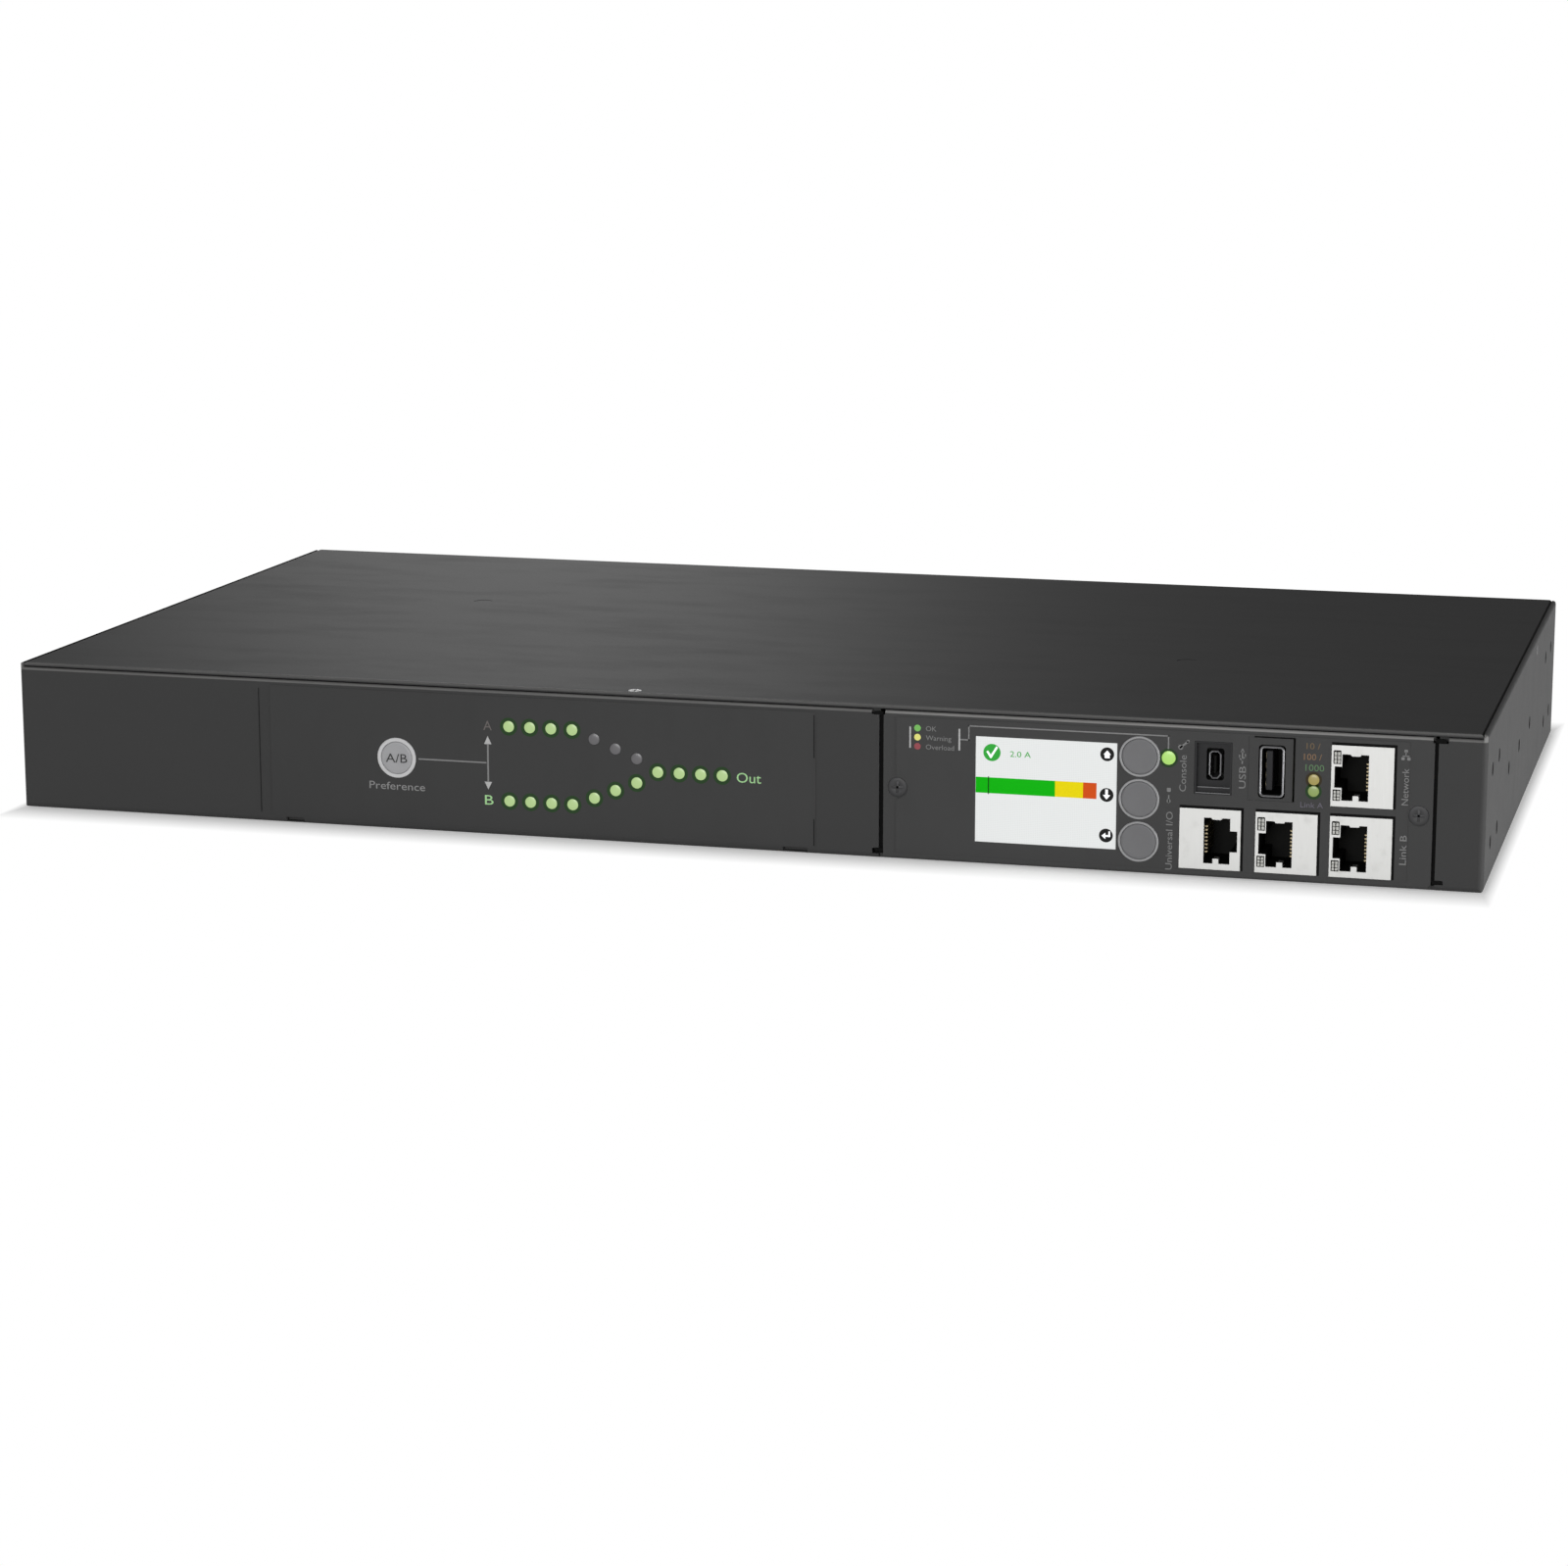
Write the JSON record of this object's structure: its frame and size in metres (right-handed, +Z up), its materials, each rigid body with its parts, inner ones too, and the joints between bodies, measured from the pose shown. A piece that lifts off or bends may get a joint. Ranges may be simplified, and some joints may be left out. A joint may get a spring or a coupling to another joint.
{
  "type": "rack automatic transfer switch",
  "caption": "Low rack-mount box that feeds its outlets from either of two mains inlets, with a mimic diagram, preference button, display, keys and network jacks on the front.",
  "frame": {"origin": "centre of the bounding box in plan, on the underside", "axes": "+Z up, front panel faces -Y, +X to the right as seen from the front"},
  "size_m": [0.432, 0.2416, 0.044],
  "materials": {
    "case_paint": "fine satin powder coat",
    "cover_paint": "fine satin powder coat",
    "film": "matt printed film",
    "black_screw": "black oxide",
    "zinc": "zinc plated",
    "brass": "plain",
    "insulator": "fish paper",
    "board_green": "solder mask",
    "relay_black": "moulded",
    "sensor_blue": "varnish",
    "film_yellow": "moulded",
    "can_blue": "sleeved",
    "disc_blue": "dipped",
    "clamp_green": "moulded",
    "ferrite": "sintered",
    "aluminium": "extruded",
    "socket_black": "moulded",
    "blade": "nickel plated",
    "copper": "copper strip",
    "button_black": "moulded",
    "wire_green": "insulation",
    "wire_brown": "insulation",
    "wire_red": "insulation",
    "ribbon": "flat cable",
    "header_cream": "moulded",
    "lamp_green": "clear moulded, lit",
    "ring_pale": "moulded",
    "cap_light": "moulded",
    "cap_grey": "moulded",
    "display": "lit display under a hard coat",
    "shield": "tin plated",
    "insert_black": "moulded",
    "port_steel": "nickel plated",
    "bezel_black": "moulded"
  },
  "bodies": {
    "case": {"chassis": "case_paint", "cover": "cover_paint", "cover_screws": "black_screw", "clinch_nuts": "zinc", "insulating_sheet": "insulator", "power_board": "board_green", "board_standoffs": "brass", "board_screws": "zinc", "relays": "relay_black", "current_sensors": "sensor_blue", "film_capacitors": "film_yellow", "bulk_capacitors": "can_blue", "surge_varistors": "disc_blue", "terminal_blocks": "clamp_green", "supply_board": "board_green", "supply_transformers": "ferrite", "supply_heatsinks": "aluminium", "inlet_a": "socket_black", "inlet_b": "socket_black", "inlet_blades": "blade", "large_outlet": "socket_black", "small_outlets": "socket_black", "outlet_tabs": "brass", "bus_bars": "copper", "breaker_bodies": "socket_black", "breaker_nuts": "socket_black", "earth_stud": "zinc", "earth_wire": "wire_green", "power_wires": "wire_brown", "front_overlay": "film", "mimic_board": "board_green", "mimic_lenses": "lamp_green", "button_rings": "ring_pale", "tact_switches": "relay_black", "ribbon_cable": "ribbon", "board_headers": "header_cream", "signal_wires": "wire_red", "module_frame": "case_paint", "module_overlay": "film", "module_screws": "black_screw", "lcd_panel": "display", "lcd_housing": "relay_black", "ui_board": "board_green", "module_lenses": "lamp_green", "port_board": "board_green", "jack_shields": "shield", "jack_inserts": "insert_black", "jack_contacts": "brass", "usb_port": "port_steel", "console_bezel": "bezel_black", "console_shell": "port_steel", "control_board": "board_green", "control_chips": "relay_black"},
    "selector": {"selector_button": "cap_light"},
    "back_key": {"button_back": "cap_grey"},
    "down_key": {"button_down": "cap_grey"},
    "enter_key": {"button_enter": "cap_grey"},
    "breaker_a": {"breaker_button_a": "button_black"},
    "breaker_b": {"breaker_button_b": "button_black"}
  },
  "joints": [
    {"name": "selector_press", "type": "slide", "parent": "case", "child": "selector", "axis": [0, 1, 0], "range_m": [0, 0.0006], "stiffness_N_per_m": 1200},
    {"name": "back_press", "type": "slide", "parent": "case", "child": "back_key", "axis": [0, 1, 0], "range_m": [0, 0.0006], "stiffness_N_per_m": 1200},
    {"name": "down_press", "type": "slide", "parent": "case", "child": "down_key", "axis": [0, 1, 0], "range_m": [0, 0.0006], "stiffness_N_per_m": 1200},
    {"name": "enter_press", "type": "slide", "parent": "case", "child": "enter_key", "axis": [0, 1, 0], "range_m": [0, 0.0006], "stiffness_N_per_m": 1200},
    {"name": "breaker_a_trip", "type": "slide", "parent": "case", "child": "breaker_a", "axis": [0, 1, 0], "range_m": [0, 0.0025]},
    {"name": "breaker_b_trip", "type": "slide", "parent": "case", "child": "breaker_b", "axis": [0, 1, 0], "range_m": [0, 0.0025]}
  ]
}
